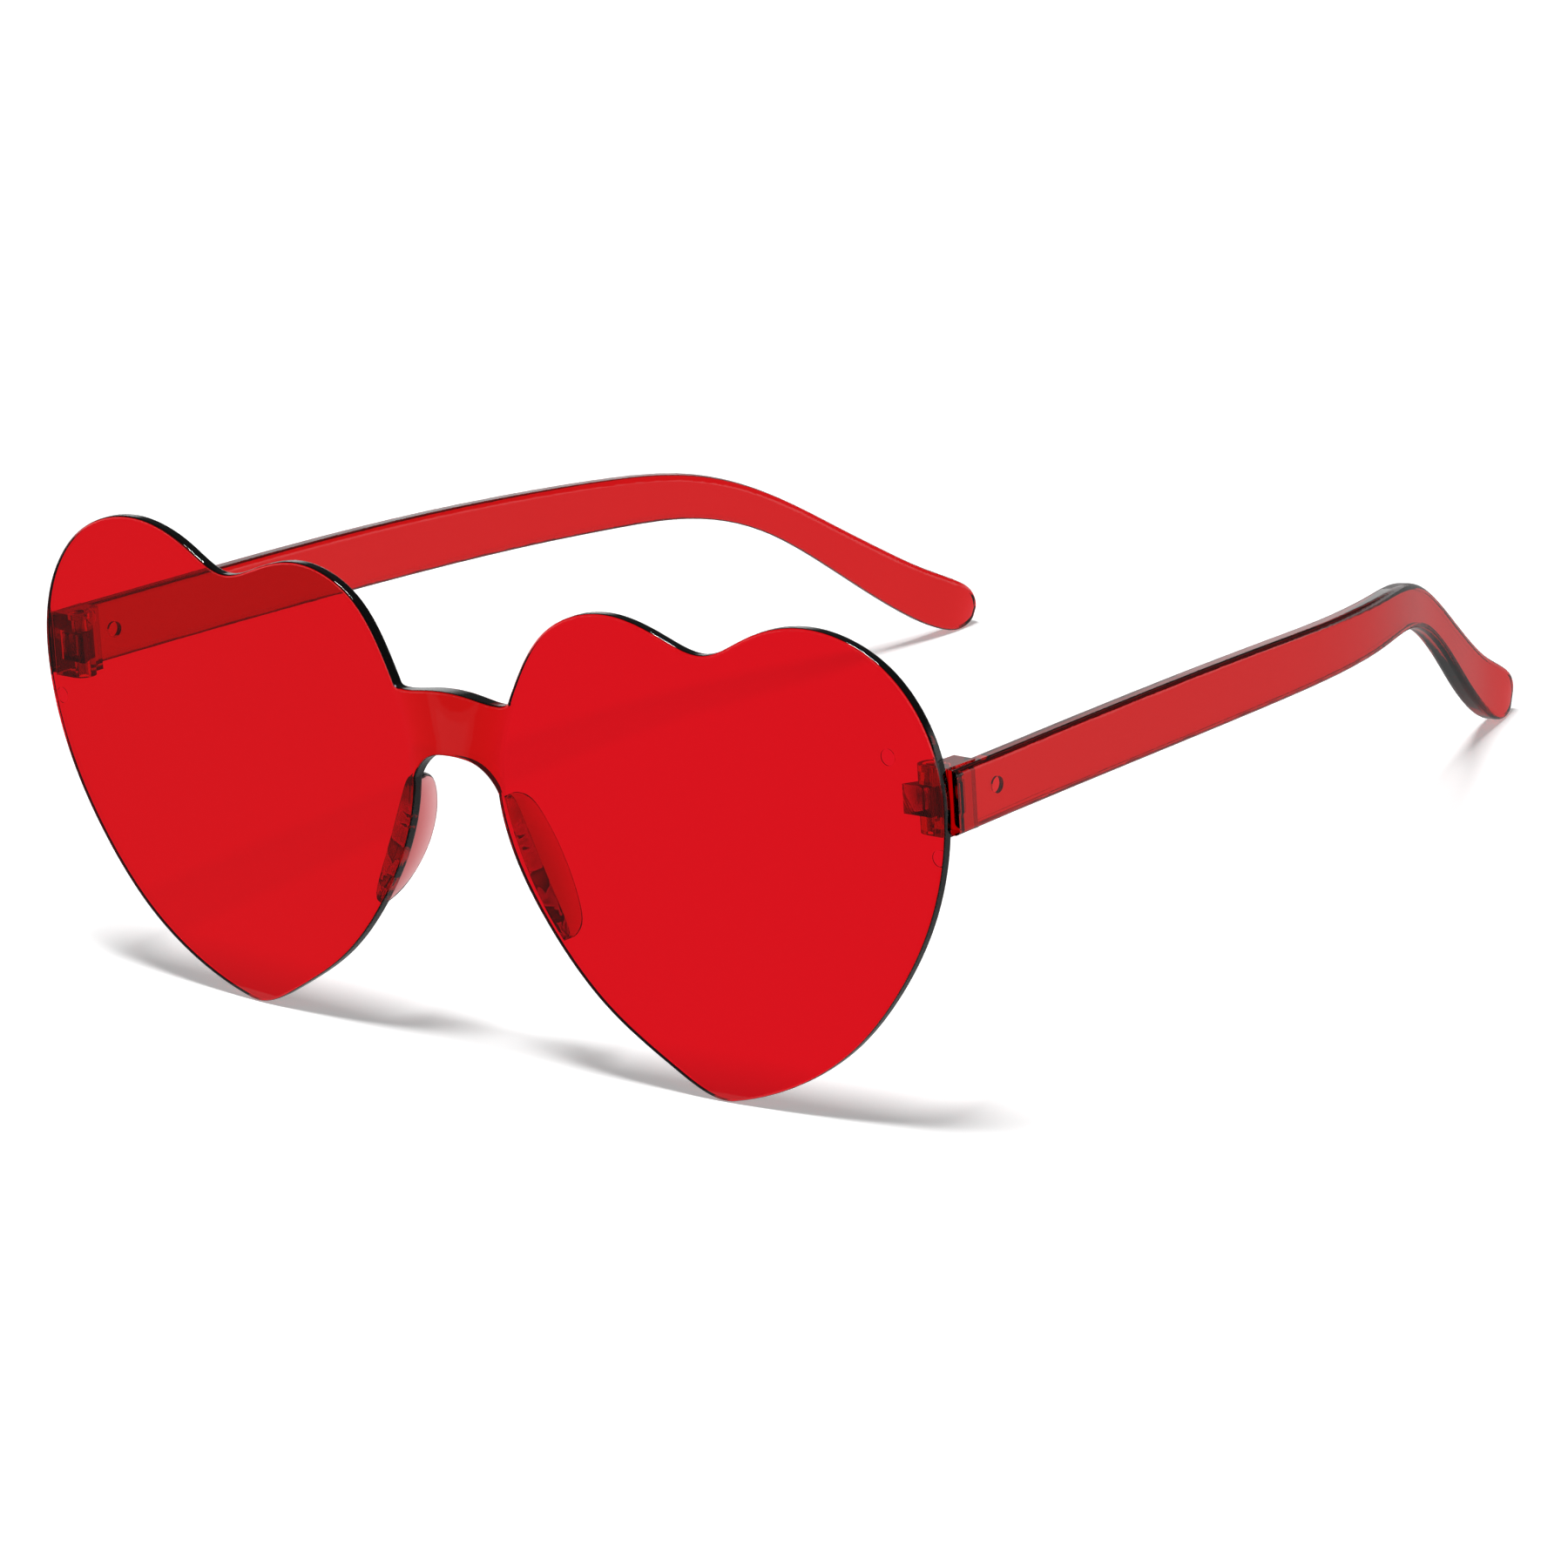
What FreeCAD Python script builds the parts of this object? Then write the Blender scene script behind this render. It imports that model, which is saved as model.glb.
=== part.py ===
import FreeCAD
import Part
import math
import os

Vector = FreeCAD.Vector

# Heart shaped sunglasses. Lengths are millimetres and angles are degrees. The pieces are first made
# upright: X runs across the face, Y from the lenses to the ears and Z up from the tips of the hearts.
# At the end they are tilted back together, until the hearts and the temple tips rest on Z = 0.

# Heart lenses
lens_width = 66.5
lens_height = 58.2
lens_thickness = 1.4
lens_gap = 13.2
lens_edge_round = 0.3
wrap_angle = 3.3
# Points of the heart: across from its nose side, and up from its tip
heart_shares = [
    (0.499, 0.0), (0.622, 0.045), (0.771, 0.150), (0.878, 0.284), (0.956, 0.436), (0.998, 0.612),
    (0.987, 0.786), (0.899, 0.933), (0.725, 1.0), (0.579, 0.958), (0.489, 0.915), (0.396, 0.941),
    (0.277, 0.971), (0.134, 0.916), (0.054, 0.790), (0.004, 0.627), (0.020, 0.473), (0.098, 0.305),
    (0.224, 0.149), (0.368, 0.045),
]

# Bridge between the hearts
bridge_top_height = 42.9
bridge_top_width = 23.0
bridge_crown = 1.2
bridge_thickness = 2.2
bridge_bow = 0.6
bridge_edge_round = 0.3
bridge_overlap = 1.2
bridge_depth = 6.5
bridge_seam_inset = 0.6
bridge_corner_blend = 1.1
bridge_corner_steps = 5
bridge_level_shares = [0.0, 0.25, 0.5, 0.75, 1.0]
blend_overlap = 0.15
nose_arch_round_share = 0.91
nose_arch_angles = [90.0, 68.0, 45.0, 22.0, 0.0]

# Nose pads, placed along the nose edge of each heart
pad_top_height = 32.4
pad_bottom_height = 15.8
pad_edge_inset = 0.35
pad_root_width = 2.6
pad_rim_width = 1.0
pad_end_width = 0.9
pad_depth = 4.9
pad_end_depth = 1.0
pad_flare = 1.0
# Stations along a pad, and how far its root bows towards the nose at its middle
pad_station_shares = [0.0, 0.06, 0.18, 0.34, 0.5, 0.66, 0.82, 0.94, 1.0]
pad_bow = 1.1

# Hinges: a lug on the lens between the two knuckles of the temple's fork
hinge_height = 39.7
hinge_inset = 3.5
hinge_stand_off = 1.95
knuckle_radius = 1.6
knuckle_height = 2.15
lug_height = 3.5
lug_gap = 0.1
lug_root_reach = 2.8
lug_root_side = 1.2
slot_clearance = 0.25
knuckle_to_temple = 0.25
fork_reach = 3.3
temple_to_lens = 0.3

# Hinge screws
screw_radius = 0.6
screw_head_radius = 1.0
screw_head_height = 0.6
screw_seat_depth = 0.8
screw_end_inset = 0.3
screw_slot_width = 0.35
screw_slot_depth = 0.3
screw_thread_gap = 0.02
screw_running_gap = 0.05

# Temples
temple_height = 7.6
temple_thickness = 2.6
temple_corner_round = 0.75
temple_reach = 134.0
tip_inset = 27.0
tip_drop = 22.7
tip_cap_length = 4.2
# Stations along a temple: along its reach, inwards, downwards, and its height there
temple_shares = [
    (0.0, 0.0, 0.0, 1.0), (0.16, 0.052, -0.004, 1.0), (0.32, 0.106, -0.002, 1.0), (0.47, 0.172, 0.012, 0.965),
    (0.58, 0.25, 0.031, 0.91), (0.67, 0.366, 0.047, 0.855), (0.745, 0.512, 0.088, 0.755),
    (0.81, 0.655, 0.232, 0.65), (0.87, 0.775, 0.473, 0.665), (0.93, 0.893, 0.745, 0.8),
    (1.0, 1.0, 1.0, 0.885),
]
temple_stations = 25
tip_cap_angles = [30.0, 55.0, 78.0]

# Marks left by the mould's pins
pin_mark_radius = 1.0
pin_mark_depth = 0.12
upper_mark_inset = 4.6
upper_mark_rise = 4.6
lower_mark_outset = 2.0
lower_mark_drop = 6.4
temple_mark_distance = 7.0

# Overrun of cutting shapes, and the search for the resting tilt
overrun = 5.0
steepest_tilt_angle = 30.0
tilt_tolerance_angle = 0.0001

wrap = math.radians(wrap_angle)
up = Vector(0, 0, 1)
nose_arch_height = bridge_top_height - bridge_depth
across = Vector(math.cos(wrap), math.sin(wrap), 0)
backward = Vector(-math.sin(wrap), math.cos(wrap), 0)


def on_lens(u, n, v):
    # A point of the left lens: u from the mid-plane, n behind its front face, v above the tip
    return across * u + backward * n + up * v


def mirrored(shape):
    return shape.mirror(Vector(0, 0, 0), Vector(1, 0, 0))


def arc(start, middle, end):
    return Part.Arc(start, middle, end).toShape()


def line(start, end):
    return Part.LineSegment(start, end).toShape()


def prism(edges, direction):
    return Part.Face(Part.Wire(edges)).extrude(direction)


def polygon_prism(points, direction):
    return Part.Face(Part.makePolygon(points + points[:1])).extrude(direction)


def heart_curve(n):
    points = []
    for u_share, v_share in heart_shares:
        points.append(on_lens(lens_gap / 2 + u_share * lens_width, n, v_share * lens_height))
    curve = Part.BSplineCurve()
    curve.interpolate(points, PeriodicFlag=True)
    return curve


def heart_prism(n_front, depth):
    return Part.Face(Part.Wire(heart_curve(n_front).toShape())).extrude(backward * depth)


def rounded_heart():
    plate = heart_prism(0, lens_thickness)
    return plate.makeFillet(lens_edge_round, [edge for edge in plate.Edges if edge.isClosed()])


def nose_edge(height):
    # The nose side of the heart at a height above its tip
    level = Part.makeLine(on_lens(0, 0, height), on_lens(lens_gap / 2 + lens_width / 2, 0, height))
    return heart_curve(0).toShape().distToShape(level)[1][0][0].dot(across)


def crease(height):
    # Where the bridge meets the left heart, across from the mid-plane
    return nose_edge(height) * math.cos(wrap)


def spline(points):
    curve = Part.BSplineCurve()
    curve.interpolate(points)
    return curve.toShape()


def crown_height(x):
    return bridge_top_height + bridge_crown * (1 - (2 * x / bridge_top_width) ** 2)


def seen_from_front(x, z):
    return Vector(x, -overrun, z)


def both_sides(points):
    return points + [Vector(-point.x, point.y, point.z) for point in reversed(points)]


def bridge_top():
    # The right half from the heart to the middle: a blend out of the heart, then the crown
    z = bridge_top_height
    for step in range(bridge_corner_steps):
        z = crown_height(crease(z))
    corner = seen_from_front(crease(z), z)
    in_heart = seen_from_front(crease(z + bridge_corner_blend) + blend_overlap, z + bridge_corner_blend)
    x = corner.x - bridge_corner_blend
    on_crown = seen_from_front(x, crown_height(x))
    blend = (in_heart + corner * 2 + on_crown) * (1 / 4)
    return [in_heart, blend, on_crown, seen_from_front(x / 2, crown_height(x / 2))]


def nose_arch():
    # The left half from the middle to the heart
    radius = nose_arch_round_share * lens_gap / 2
    z = nose_arch_height - radius
    x = crease(z) + blend_overlap - radius
    points = []
    for angle in nose_arch_angles:
        turn = math.radians(angle)
        points.append(seen_from_front(x + radius * math.cos(turn), z + radius * math.sin(turn)))
    return points


def bridge_strip(height):
    # Seen from above: a strip that bows forward and back between the lenses, level with them at its seams
    half = crease(height) + bridge_seam_inset
    end = half + bridge_overlap
    spread = (end / half) ** 2
    face = half * math.tan(wrap)
    front = Vector(0, face - bridge_bow, height)
    back = Vector(0, front.y + bridge_thickness, height)
    rear_bow = back.y - face - lens_thickness / math.cos(wrap)
    fronts = both_sides([Vector(end, front.y + bridge_bow * spread, height)])
    backs = both_sides([Vector(end, back.y - rear_bow * spread, height)])
    return Part.Wire([arc(fronts[1], front, fronts[0]), line(fronts[0], backs[0]),
                      arc(backs[0], back, backs[1]), line(backs[1], fronts[1])])


def bridge_band():
    # Seen from the front: crowned above, arched for the nose below, with its ends inside the hearts
    top = both_sides(bridge_top())
    bottom = both_sides(list(reversed(nose_arch())))
    end = max(top[0].x, bottom[0].x) + bridge_overlap
    ends = both_sides([seen_from_front(end, top[0].z), seen_from_front(end, bottom[0].z)])
    first_end = [line(top[-1], ends[3]), line(ends[3], ends[2]), line(ends[2], bottom[-1])]
    last_end = [line(bottom[0], ends[1]), line(ends[1], ends[0]), line(ends[0], top[0])]
    front_view = prism([spline(top)] + first_end + [spline(bottom)] + last_end, Vector(0, 2 * overrun, 0))
    low = bottom[0].z - bridge_corner_blend
    high = top[0].z + bridge_corner_blend
    strips = [bridge_strip(low + (high - low) * share) for share in bridge_level_shares]
    band = front_view.common(Part.makeLoft(strips, True))
    rounded = []
    for edge in band.Edges:
        box = edge.BoundBox
        # The edge over the nose stays sharp behind, where it runs out against the hearts
        if box.XLength > lens_gap and (box.ZMax > bridge_top_height or box.Center.y < bridge_thickness / 2):
            rounded.append(edge)
    return band.makeFillet(bridge_edge_round, rounded)


def lens_marks(hinge_u):
    marks = []
    places = [(-upper_mark_inset, upper_mark_rise), (lower_mark_outset, -lower_mark_drop)]
    for u_offset, v_offset in places:
        start = on_lens(hinge_u + u_offset, lens_thickness - pin_mark_depth, hinge_height + v_offset)
        marks.append(Part.makeCylinder(pin_mark_radius, overrun, start, backward))
    return marks


def front_lens(hinge_u):
    heart = rounded_heart().cut(lens_marks(hinge_u))
    return heart.fuse([mirrored(heart), bridge_band()])


def pad_section(base, outward, width, depth):
    # A root on the lens that narrows to a rounded rim, leaning away from the nose
    rim = min(pad_rim_width, width) / 2
    bend = rim * math.sqrt(0.5)
    middle = pad_flare * depth / pad_depth + rim
    shoulder = depth - rim
    outline = [(0, 0), (width, 0), (middle + rim, shoulder), (middle + bend, shoulder + bend),
               (middle, depth), (middle - bend, shoulder + bend), (middle - rim, shoulder)]
    points = []
    for c, n in outline:
        spot = base + outward * c
        points.append(on_lens(spot.x, lens_thickness + n, spot.y))
    return Part.Wire([line(points[0], points[1]), line(points[1], points[2]),
                      arc(points[2], points[3], points[4]), arc(points[4], points[5], points[6]),
                      line(points[6], points[0])])


def nose_pad():
    top = Vector(nose_edge(pad_top_height) + pad_edge_inset, pad_top_height, 0)
    bottom = Vector(nose_edge(pad_bottom_height) + pad_edge_inset, pad_bottom_height, 0)
    chord = bottom - top
    outward = Vector(-chord.y, chord.x, 0).normalize()
    sections = []
    for share in pad_station_shares:
        swell = math.sqrt(max(0, 1 - (2 * share - 1) ** 2))
        width = pad_end_width + (pad_root_width - pad_end_width) * swell
        depth = pad_end_depth + (pad_depth - pad_end_depth) * swell
        base = top + chord * share - outward * (pad_bow * swell ** 2)
        sections.append(pad_section(base, outward, width, depth))
    return Part.makeLoft(sections, True)


def hinge_lug(hinge_u, axis):
    low = hinge_height - lug_height / 2
    axis_n = lens_thickness + hinge_stand_off
    root = [(-lug_root_reach, lens_thickness), (lug_root_side, lens_thickness),
            (lug_root_side, axis_n), (-knuckle_radius, axis_n)]
    root = polygon_prism([on_lens(hinge_u + u, n, low) for u, n in root], up * lug_height)
    knuckle = Part.makeCylinder(knuckle_radius, lug_height, axis + up * low)
    bore_low = axis + up * (low - overrun)
    bore = Part.makeCylinder(screw_radius + screw_running_gap, lug_height + 2 * overrun, bore_low)
    return root.fuse(knuckle).removeSplitter().cut(bore)


def rounded_section(centre, side, rise, width, height, radius):
    # A rectangle with rounded corners, across side and rise
    half_w = width / 2
    half_h = height / 2
    bend = radius * (1 - math.sqrt(0.5))
    edges = []
    ends = []
    for sx, sy in ((1, 1), (-1, 1), (-1, -1), (1, -1)):
        along_side = centre + side * (sx * half_w) + rise * (sy * (half_h - radius))
        along_rise = centre + side * (sx * (half_w - radius)) + rise * (sy * half_h)
        middle = centre + side * (sx * (half_w - bend)) + rise * (sy * (half_h - bend))
        first, last = (along_side, along_rise) if sx * sy > 0 else (along_rise, along_side)
        ends.append((first, middle, last))
    for index, (first, middle, last) in enumerate(ends):
        edges.append(arc(first, middle, last))
        edges.append(line(last, ends[(index + 1) % len(ends)][0]))
    return Part.Wire(edges)


def temple_bar(start):
    along = [row[0] for row in temple_shares]
    route = Part.BSplineCurve()
    route.interpolate(Points=[start + Vector(-inward * tip_inset, reach * temple_reach, -down * tip_drop)
                              for reach, inward, down, tall in temple_shares], Parameters=along)
    heights = Part.BSplineCurve()
    heights.interpolate(Points=[Vector(reach * temple_reach, tall * temple_height, 0)
                                for reach, inward, down, tall in temple_shares], Parameters=along)
    sections = []
    for index in range(temple_stations):
        share = index / (temple_stations - 1)
        tangent = Vector(*route.tangent(share)[0]) if index else Vector(0, 1, 0)
        side = Vector(tangent.y, -tangent.x, 0).normalize()
        rise = side.cross(tangent)
        spot = route.value(share)
        height = heights.value(share).y
        sections.append(rounded_section(spot, side, rise, temple_thickness, height, temple_corner_round))
    for angle in tip_cap_angles:
        cap = math.radians(angle)
        centre = spot + tangent * (tip_cap_length * math.sin(cap))
        thin = temple_thickness * (1 + math.cos(cap)) / 2
        sections.append(rounded_section(centre, side, rise, thin, height * math.cos(cap),
                                        temple_corner_round * math.cos(cap)))
    return Part.makeLoft(sections, True)


def temple(axis, start):
    inner = start.x - temple_thickness / 2
    embed = temple_thickness / 2
    stack = lug_height + 2 * lug_gap + 2 * knuckle_height
    low = hinge_height - stack / 2
    base = axis + up * low
    block = [(0, -knuckle_radius), (inner - axis.x + embed, -knuckle_radius),
             (inner - axis.x + embed, fork_reach), (0, fork_reach)]
    block = polygon_prism([base + Vector(x, y, 0) for x, y in block], up * stack)
    fork = block.fuse(Part.makeCylinder(knuckle_radius, stack, base)).removeSplitter()
    slot_low = axis + up * (hinge_height - lug_height / 2 - lug_gap)
    slot_height = lug_height + 2 * lug_gap
    slot_half = knuckle_radius + slot_clearance
    slot = Part.makeCylinder(slot_half, slot_height, slot_low)
    mouth_reach = slot_half + overrun
    slot_mouth = Part.makeBox(slot_half, mouth_reach, slot_height, slot_low - Vector(0, mouth_reach, 0))
    piece = temple_bar(start).fuse(fork).removeSplitter()
    bore = Part.makeCylinder(screw_radius + screw_thread_gap, stack + 2 * overrun, base - up * overrun)
    seat_low = axis + up * (low + stack - screw_seat_depth)
    seat = Part.makeCylinder(screw_head_radius + screw_thread_gap, screw_seat_depth + overrun, seat_low)
    mark_start = Vector(inner + pin_mark_depth, axis.y + temple_mark_distance, hinge_height)
    mark = Part.makeCylinder(pin_mark_radius, overrun, mark_start, Vector(-1, 0, 0))
    return piece.cut([slot, slot_mouth, bore, seat, mark])


def hinge_screw(axis):
    stack = lug_height + 2 * lug_gap + 2 * knuckle_height
    low = hinge_height - stack / 2
    head_low = low + stack - screw_seat_depth
    shank_low = low + screw_end_inset
    shank = Part.makeCylinder(screw_radius, head_low - shank_low, axis + up * shank_low)
    head = Part.makeCylinder(screw_head_radius, screw_head_height, axis + up * head_low)
    slot_low = axis + up * (head_low + screw_head_height - screw_slot_depth)
    slot = Part.makeBox(2 * screw_head_radius + overrun, screw_slot_width, screw_slot_depth + overrun,
                        slot_low - Vector(screw_head_radius + overrun / 2, screw_slot_width / 2, 0))
    return shank.fuse(head).cut(slot)


def tilted(shape, angle):
    copy = shape.copy()
    copy.rotate(Vector(0, 0, 0), Vector(1, 0, 0), -angle)
    return copy


def lowest(shape, angle):
    return tilted(shape, angle).optimalBoundingBox(False, False).ZMin


def rest_angle(front, arm):
    # Tilts the pair until the heart's tip and the temple's tip are at one level
    low_angle = 0
    high_angle = steepest_tilt_angle
    while high_angle - low_angle > tilt_tolerance_angle:
        angle = (low_angle + high_angle) / 2
        if lowest(arm, angle) > lowest(front, angle):
            low_angle = angle
        else:
            high_angle = angle
    return angle


hinge_u = lens_gap / 2 + lens_width - hinge_inset
axis = on_lens(hinge_u, lens_thickness + hinge_stand_off, 0)
bar_x = axis.x + knuckle_radius + knuckle_to_temple + temple_thickness / 2
bar_y = (bar_x + temple_thickness / 2) * math.tan(wrap) + lens_thickness / math.cos(wrap) + temple_to_lens
start = Vector(bar_x, bar_y, hinge_height)

left = {
    "nose_pad": nose_pad(),
    "hinge_lug": hinge_lug(hinge_u, axis),
    "temple": temple(axis, start),
    "hinge_screw": hinge_screw(axis),
}
pieces = {"front_lens": front_lens(hinge_u)}
for name, shape in left.items():
    pieces[name + "_left"] = shape
    pieces[name + "_right"] = mirrored(shape)

tilt = rest_angle(pieces["front_lens"], pieces["temple_left"])
box = FreeCAD.BoundBox()
for name, shape in pieces.items():
    pieces[name] = tilted(shape, tilt)
    box.add(pieces[name].optimalBoundingBox(False, False))
to_origin = Vector(0, -(box.YMin + box.YMax) / 2, -box.ZMin)

os.makedirs("parts", exist_ok=True)
for name, shape in pieces.items():
    shape.translate(to_origin)
    shape.exportStep("parts/" + name + ".step")
    print(name, "valid", shape.isValid(), "solids", len(shape.Solids), "volume", round(shape.Volume, 2))

marker = tilted(Part.Vertex(axis + up * hinge_height), tilt).Point + to_origin
print("rest tilt", round(tilt, 4), "hinge centre", marker, "size", box.XLength, box.YLength, box.ZLength)
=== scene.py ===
import bpy
import bmesh
import math
from mathutils import Matrix, Vector

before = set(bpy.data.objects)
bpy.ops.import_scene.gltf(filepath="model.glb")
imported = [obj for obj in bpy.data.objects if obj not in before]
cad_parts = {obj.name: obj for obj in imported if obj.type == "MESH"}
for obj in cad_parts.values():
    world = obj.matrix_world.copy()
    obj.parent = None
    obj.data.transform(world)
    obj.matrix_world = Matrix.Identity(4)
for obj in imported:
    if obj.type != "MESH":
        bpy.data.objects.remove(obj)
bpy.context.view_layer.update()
print("frame loaded:", len(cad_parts), "nodes")

scene = bpy.context.scene
scene.view_settings.view_transform = "Standard"

# How the noise spreads into tone, roughness and bump, on every piece
surface = {
    "toneFrom": 0.35,
    "toneTo": 0.65,
    "roughFrom": 0.3,
    "roughTo": 0.7,
    "peelScale": 4.0,  # the bump's grain, against the cloud's
    "peelDetail": 2.0,
    "peelDepth": 0.0005,
}


def newMaterial(name):
    material = bpy.data.materials.new(name)
    material.use_nodes = True
    tree = material.node_tree
    return material, tree, tree.nodes["Principled BSDF"], tree.nodes["Material Output"]


def objectNoise(tree, scale, detail):
    place = tree.nodes.new("ShaderNodeTexCoord")
    noise = tree.nodes.new("ShaderNodeTexNoise")
    noise.inputs["Scale"].default_value = scale
    noise.inputs["Detail"].default_value = detail
    tree.links.new(place.outputs["Object"], noise.inputs["Vector"])
    return noise


def twoTone(tree, noise, first, second):
    ramp = tree.nodes.new("ShaderNodeValToRGB")
    low, high = ramp.color_ramp.elements
    low.position = surface["toneFrom"]
    low.color = (*first, 1.0)
    high.position = surface["toneTo"]
    high.color = (*second, 1.0)
    tree.links.new(noise.outputs["Fac"], ramp.inputs["Fac"])
    return ramp.outputs["Color"]


def roughRange(tree, noise, low, high):
    spread = tree.nodes.new("ShaderNodeMapRange")
    spread.inputs["From Min"].default_value = surface["roughFrom"]
    spread.inputs["From Max"].default_value = surface["roughTo"]
    spread.inputs["To Min"].default_value = low
    spread.inputs["To Max"].default_value = high
    tree.links.new(noise.outputs["Fac"], spread.inputs["Value"])
    return spread.outputs["Result"]


def cloudedSurface(tree, shader, look, first, second):
    cloud = objectNoise(tree, look["grain"], look["detail"])
    tone = twoTone(tree, cloud, first, second)
    rough = roughRange(tree, cloud, look["roughLow"], look["roughHigh"])
    tree.links.new(tone, shader.inputs["Base Color"])
    tree.links.new(rough, shader.inputs["Roughness"])


# Clear plastic with dye, which absorbs each colour at density * (1 - tint) per metre
def clearPlastic(name, look):
    material, tree, shader, output = newMaterial(name)
    shader.inputs["Transmission Weight"].default_value = 1.0
    shader.inputs["IOR"].default_value = look["ior"]
    shader.inputs["Specular IOR Level"].default_value = look["specular"]
    cloudedSurface(tree, shader, look, look["clear"], look["haze"])
    peel = objectNoise(tree, look["grain"] * surface["peelScale"], surface["peelDetail"])
    bump = tree.nodes.new("ShaderNodeBump")
    bump.inputs["Strength"].default_value = look["peel"]
    bump.inputs["Distance"].default_value = surface["peelDepth"]
    tree.links.new(peel.outputs["Fac"], bump.inputs["Height"])
    tree.links.new(bump.outputs["Normal"], shader.inputs["Normal"])
    dye = tree.nodes.new("ShaderNodeVolumeAbsorption")
    dye.inputs["Color"].default_value = (*look["tint"], 1.0)
    dye.inputs["Density"].default_value = look["density"]
    tree.links.new(dye.outputs["Volume"], output.inputs["Volume"])
    return material


def turnedSteel(name, look):
    material, tree, shader, _ = newMaterial(name)
    shader.inputs["Metallic"].default_value = 1.0
    cloudedSurface(tree, shader, look, look["dull"], look["bright"])
    return material


def dress(material, look):
    for node in look["nodes"]:
        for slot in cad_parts[node].material_slots:
            slot.material = material


lensPlastic = {
    "nodes": ["front_lens"],
    "tint": (0.9585, 0.038, 0.385),
    "density": 5200.0,
    "ior": 1.55,
    "specular": 0.5,
    "clear": (1.0, 1.0, 1.0),
    "haze": (1.0, 0.985, 0.985),
    "roughLow": 0.008,
    "roughHigh": 0.022,
    "grain": 90.0,
    "detail": 3.0,
    "peel": 0.004,
}
dress(clearPlastic("lensRedClear", lensPlastic), lensPlastic)

templePlastic = {
    "nodes": ["temple_left", "temple_right"],
    "tint": (0.925, 0.05, 0.12),
    "density": 2100.0,
    "ior": 1.55,
    "specular": 0.5,
    "clear": (1.0, 1.0, 1.0),
    "haze": (1.0, 0.98, 0.98),
    "roughLow": 0.015,
    "roughHigh": 0.04,
    "grain": 140.0,
    "detail": 3.0,
    "peel": 0.006,
}
dress(clearPlastic("templeRedClear", templePlastic), templePlastic)

# Red plastic like the temples', its dye made far denser as painted shade for the dark that refraction
# gives the thick lugs
lugPlasticWithPaintedShade = {
    "nodes": ["hinge_lug_left", "hinge_lug_right"],
    "tint": (0.88, 0.05, 0.12),
    "density": 7500.0,
    "ior": 1.55,
    "specular": 0.5,
    "clear": (1.0, 1.0, 1.0),
    "haze": (1.0, 0.98, 0.98),
    "roughLow": 0.02,
    "roughHigh": 0.06,
    "grain": 260.0,
    "detail": 3.0,
    "peel": 0.01,
}
dress(clearPlastic("lugRedClearPaintedShade", lugPlasticWithPaintedShade), lugPlasticWithPaintedShade)

# Pale pink clear plastic, its own tint, with the dye made denser as painted shade for the darker look the
# pads take from what they refract
padPlasticWithPaintedShade = {
    "nodes": ["nose_pad_left", "nose_pad_right"],
    "tint": (0.74, 0.07, 0.09),
    "density": 900.0,
    "ior": 1.5,
    "specular": 0.5,
    "clear": (1.0, 0.97, 0.97),
    "haze": (1.0, 0.94, 0.94),
    "roughLow": 0.03,
    "roughHigh": 0.09,
    "grain": 300.0,
    "detail": 3.0,
    "peel": 0.012,
}
dress(clearPlastic("padPinkClearPaintedShade", padPlasticWithPaintedShade), padPlasticWithPaintedShade)

screwSteel = {
    "nodes": ["hinge_screw_left", "hinge_screw_right"],
    "bright": (0.62, 0.61, 0.6),
    "dull": (0.42, 0.41, 0.4),
    "roughLow": 0.22,
    "roughHigh": 0.42,
    "grain": 900.0,
    "detail": 4.0,
}
dress(turnedSteel("screwSteelTurned", screwSteel), screwSteel)
print("materials on", len(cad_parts), "nodes")


def sheet(name, corners):
    shell = bmesh.new()
    shell.faces.new([shell.verts.new(corner) for corner in corners])
    mesh = bpy.data.meshes.new(name)
    shell.to_mesh(mesh)
    shell.free()
    piece = bpy.data.objects.new(name, mesh)
    scene.collection.objects.link(piece)
    return piece


# The largest of the shares whose kind of ray meets the surface
def shareByRay(tree, shares):
    path = tree.nodes.new("ShaderNodeLightPath")
    largest = None
    for kind, share in shares.items():
        part = tree.nodes.new("ShaderNodeMath")
        part.operation = "MULTIPLY"
        part.inputs[1].default_value = share
        tree.links.new(path.outputs[kind], part.inputs[0])
        if largest is None:
            largest = part.outputs[0]
            continue
        larger = tree.nodes.new("ShaderNodeMath")
        larger.operation = "MAXIMUM"
        tree.links.new(largest, larger.inputs[0])
        tree.links.new(part.outputs[0], larger.inputs[1])
        largest = larger.outputs[0]
    return largest


# White paper under the pair
whiteFloor = {
    "half": 30.0,
    "paper": (0.97, 0.97, 0.97),
    "roughness": 1.0,
    "specular": 0.0,
    "glow": 0.1,  # share of plain white for the camera and for reflections
    "glassGlow": 0.75,  # share of plain white behind clear plastic
    "lift": 0.22,  # added for the camera alone
}


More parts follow.
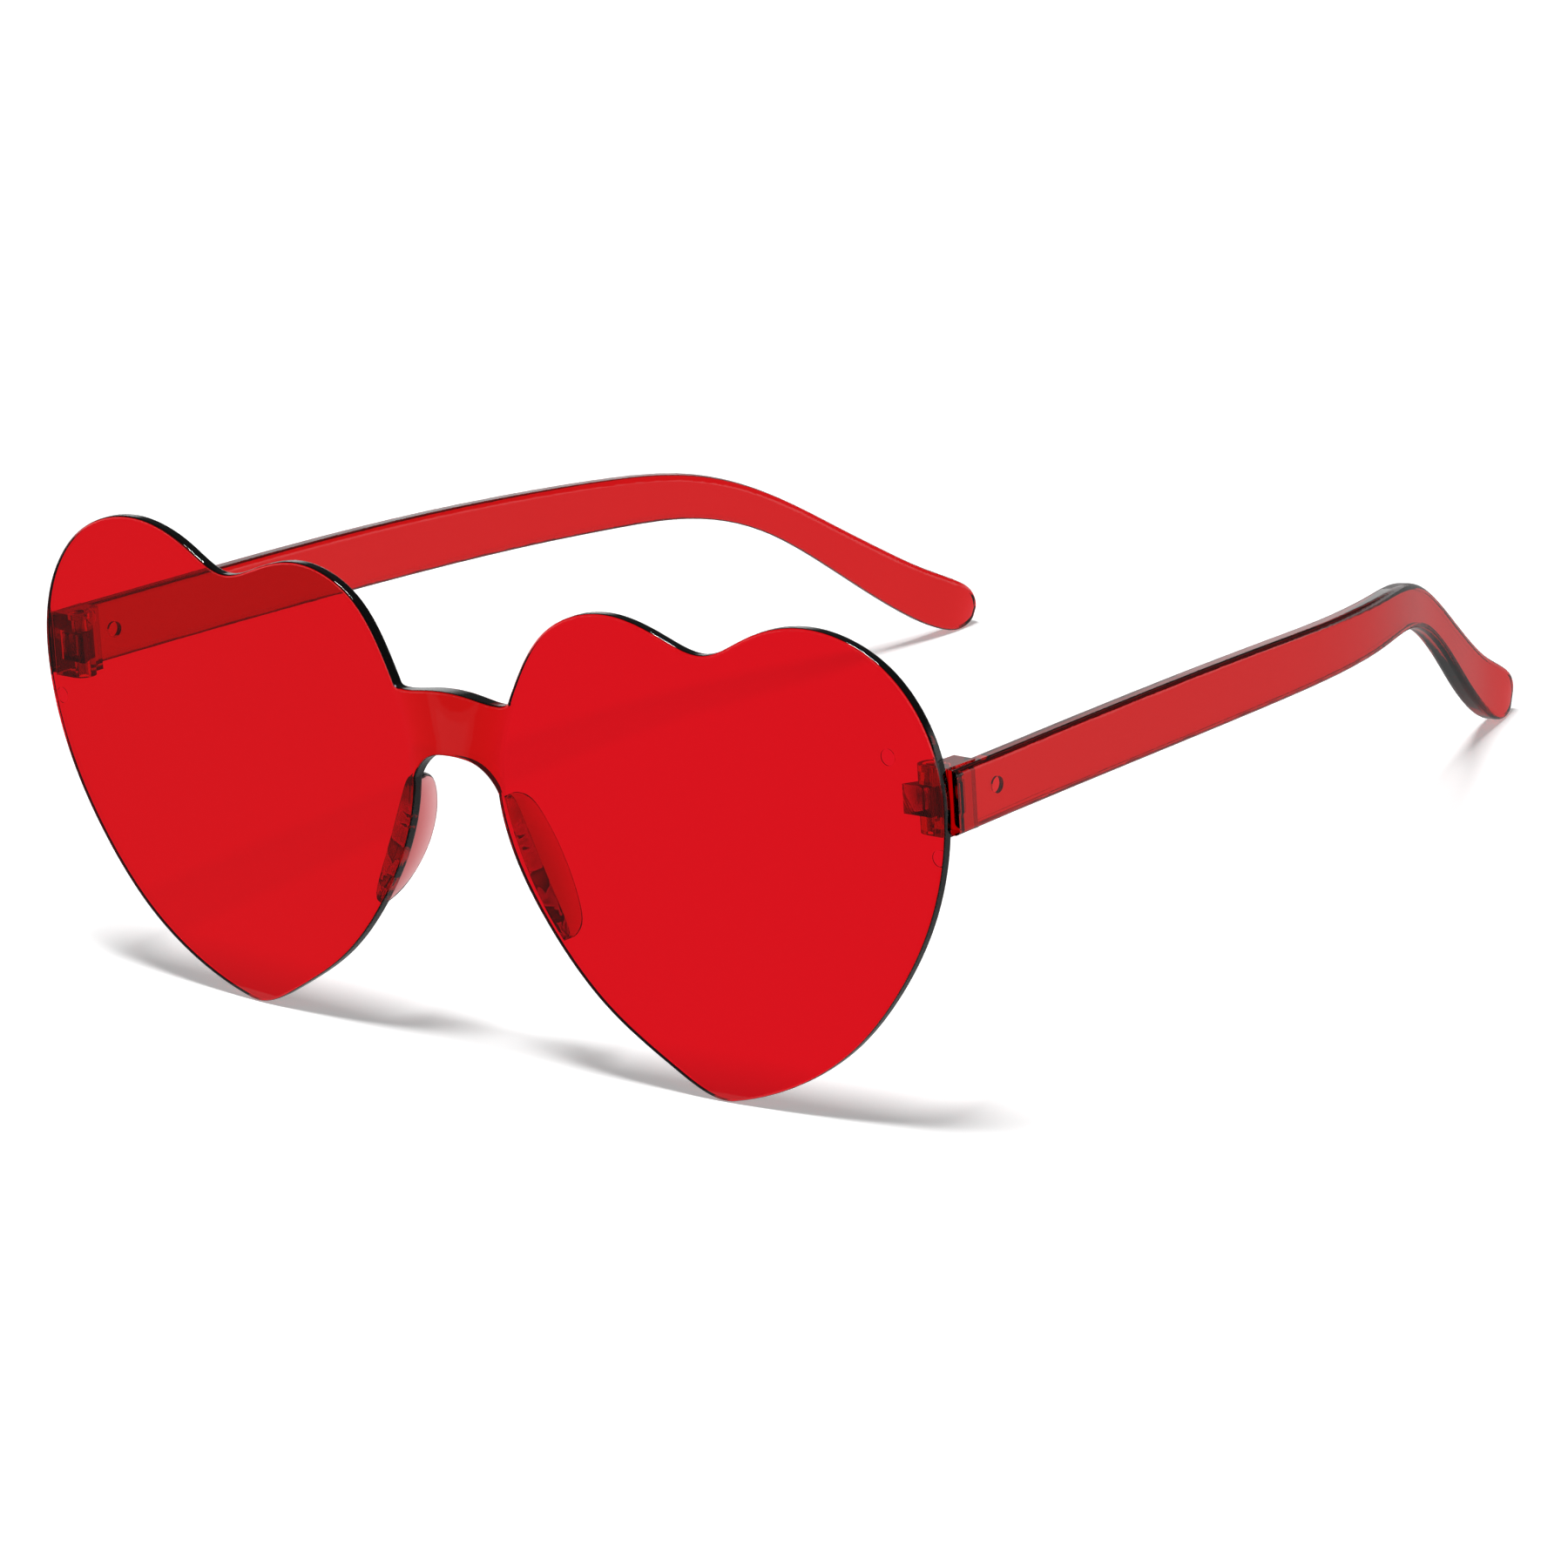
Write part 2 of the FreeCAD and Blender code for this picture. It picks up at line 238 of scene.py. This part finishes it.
def layFloor(look):
    half = look["half"]
    corners = [(-half, -half, 0.0), (half, -half, 0.0), (half, half, 0.0), (-half, half, 0.0)]
    floor = sheet("floorSweep", corners)
    material, tree, paper, output = newMaterial("floorPaperWhite")
    paper.inputs["Base Color"].default_value = (*look["paper"], 1.0)
    paper.inputs["Roughness"].default_value = look["roughness"]
    paper.inputs["Specular IOR Level"].default_value = look["specular"]
    plainWhite = tree.nodes.new("ShaderNodeEmission")
    plainWhite.inputs["Strength"].default_value = 1.0
    glowShares = {
        "Is Camera Ray": look["glow"],
        "Is Glossy Ray": look["glow"],
        "Is Transmission Ray": look["glassGlow"],
    }
    glowing = tree.nodes.new("ShaderNodeMixShader")
    tree.links.new(shareByRay(tree, glowShares), glowing.inputs["Fac"])
    tree.links.new(paper.outputs["BSDF"], glowing.inputs[1])
    tree.links.new(plainWhite.outputs["Emission"], glowing.inputs[2])
    lift = tree.nodes.new("ShaderNodeEmission")
    tree.links.new(shareByRay(tree, {"Is Camera Ray": look["lift"]}), lift.inputs["Strength"])
    lifted = tree.nodes.new("ShaderNodeAddShader")
    tree.links.new(glowing.outputs["Shader"], lifted.inputs[0])
    tree.links.new(lift.outputs["Emission"], lifted.inputs[1])
    tree.links.new(lifted.outputs["Shader"], output.inputs["Surface"])
    floor.data.materials.append(material)


layFloor(whiteFloor)

# Glowing sheets that only reflections show, as painted reflections: a dark painted reflection before the
# lenses, paler painted reflections before the bridge and around the temples
cards = {
    "darkReflectionSheet": {
        "corners": [(-0.7, -0.8), (0.4, -0.8), (0.4, -0.074), (-0.7, -0.074)],
        "level": 0.0003,
        "shade": 0.12,
    },
    "bridgeReflectionSheet": {
        "corners": [(-0.0915, -0.1945), (-0.151, -0.281), (-0.204, -0.244), (-0.114, -0.165)],
        "level": 0.0004,
        "shade": 0.21,
    },
    "bridgeReflectionCore": {
        "corners": [(-0.106, -0.2025), (-0.1477, -0.263), (-0.1848, -0.2371), (-0.1218, -0.1818)],
        "level": 0.0005,
        "shade": 0.28,
    },
    "rightReflectionSheet": {
        "corners": [(0.4, -0.8), (1.2, -0.8), (1.2, 1.2), (0.4, 1.2)],
        "level": 0.0003,
        "shade": 0.38,
    },
    "backReflectionSheet": {
        "corners": [(-0.7, -0.074), (0.4, -0.074), (0.4, 1.2), (-0.7, 1.2)],
        "level": 0.0003,
        "shade": 0.38,
    },
}


def layCard(name, look):
    piece = sheet(name, [(*corner, look["level"]) for corner in look["corners"]])
    material, tree, unlit, output = newMaterial(name)
    tree.nodes.remove(unlit)
    shade = tree.nodes.new("ShaderNodeEmission")
    shade.inputs["Color"].default_value = (look["shade"], look["shade"], look["shade"], 1.0)
    shade.inputs["Strength"].default_value = 1.0
    tree.links.new(shade.outputs["Emission"], output.inputs["Surface"])
    piece.data.materials.append(material)
    # Seen by reflections alone: each sheet paints a reflection of its grey and lights nothing
    piece.visible_camera = False
    piece.visible_diffuse = False
    piece.visible_transmission = False
    piece.visible_shadow = False


for cardName, cardLook in cards.items():
    layCard(cardName, cardLook)
print("floor and", len(cards), "cards laid")

# Dark studio over a white horizon
studioDome = {
    "white": 1.0,
    "dark": 0.08,
    "bandLow": 0.12,  # heights between which the horizon fades, as sines
    "bandHigh": 0.3,
}


def hangDome(look):
    world = bpy.data.worlds.new("studioDome")
    world.use_nodes = True
    sky = world.node_tree
    backdrop = sky.nodes["Background"]
    place = sky.nodes.new("ShaderNodeTexCoord")
    split = sky.nodes.new("ShaderNodeSeparateXYZ")
    fade = sky.nodes.new("ShaderNodeMapRange")
    fade.interpolation_type = "SMOOTHSTEP"
    fade.inputs["From Min"].default_value = look["bandLow"]
    fade.inputs["From Max"].default_value = look["bandHigh"]
    fade.inputs["To Min"].default_value = look["white"]
    fade.inputs["To Max"].default_value = look["dark"]
    sky.links.new(place.outputs["Generated"], split.inputs["Vector"])
    sky.links.new(split.outputs["Z"], fade.inputs["Value"])
    sky.links.new(fade.outputs["Result"], backdrop.inputs["Color"])
    backdrop.inputs["Strength"].default_value = 1.0
    scene.world = world


hangDome(studioDome)

# One softbox overhead, narrow from front to back so that the lenses cast a shadow
softbox = {
    "power": 94.0,
    "long": 1.2,
    "wide": 0.55,
    "at": (0.0, -0.13, 3.0),
}


def hangSoftbox(look):
    lampData = bpy.data.lights.new("softbox", "AREA")
    lampData.energy = look["power"]
    lampData.shape = "RECTANGLE"
    lampData.size = look["long"]
    lampData.size_y = look["wide"]
    lamp = bpy.data.objects.new("softbox", lampData)
    lamp.location = look["at"]
    scene.collection.objects.link(lamp)


hangSoftbox(softbox)
print("dome and softbox hung")

# Camera at the photograph's viewing angle
viewFrom = {
    "azimuth": 44.0731,
    "elevation": 19.5657,
    "roll": -7.6244,
    "distance": 1.0223,
    "target": (0.029498, -0.045431, 0.028929),
    "lens": 200.28,
    "sensor": 36.0,
    "clipStart": 0.01,
    "clipEnd": 20.0,
}


def placeCamera(look):
    turn = math.radians(look["azimuth"])
    rise = math.radians(look["elevation"])
    back = Vector((math.sin(turn) * math.cos(rise), -math.cos(turn) * math.cos(rise), math.sin(rise)))
    right = Vector((math.cos(turn), math.sin(turn), 0))
    upward = back.cross(right)
    level = Matrix((right, upward, back)).transposed()
    stance = level @ Matrix.Rotation(math.radians(look["roll"]), 3, "Z")
    eye = Vector(look["target"]) + back * look["distance"]
    cameraData = bpy.data.cameras.new("photoCamera")
    cameraData.lens = look["lens"]
    cameraData.sensor_width = look["sensor"]
    cameraData.clip_start = look["clipStart"]
    cameraData.clip_end = look["clipEnd"]
    camera = bpy.data.objects.new("photoCamera", cameraData)
    camera.matrix_world = Matrix.Translation(eye) @ stance.to_4x4()
    scene.collection.objects.link(camera)
    scene.camera = camera


placeCamera(viewFrom)
print("camera placed")
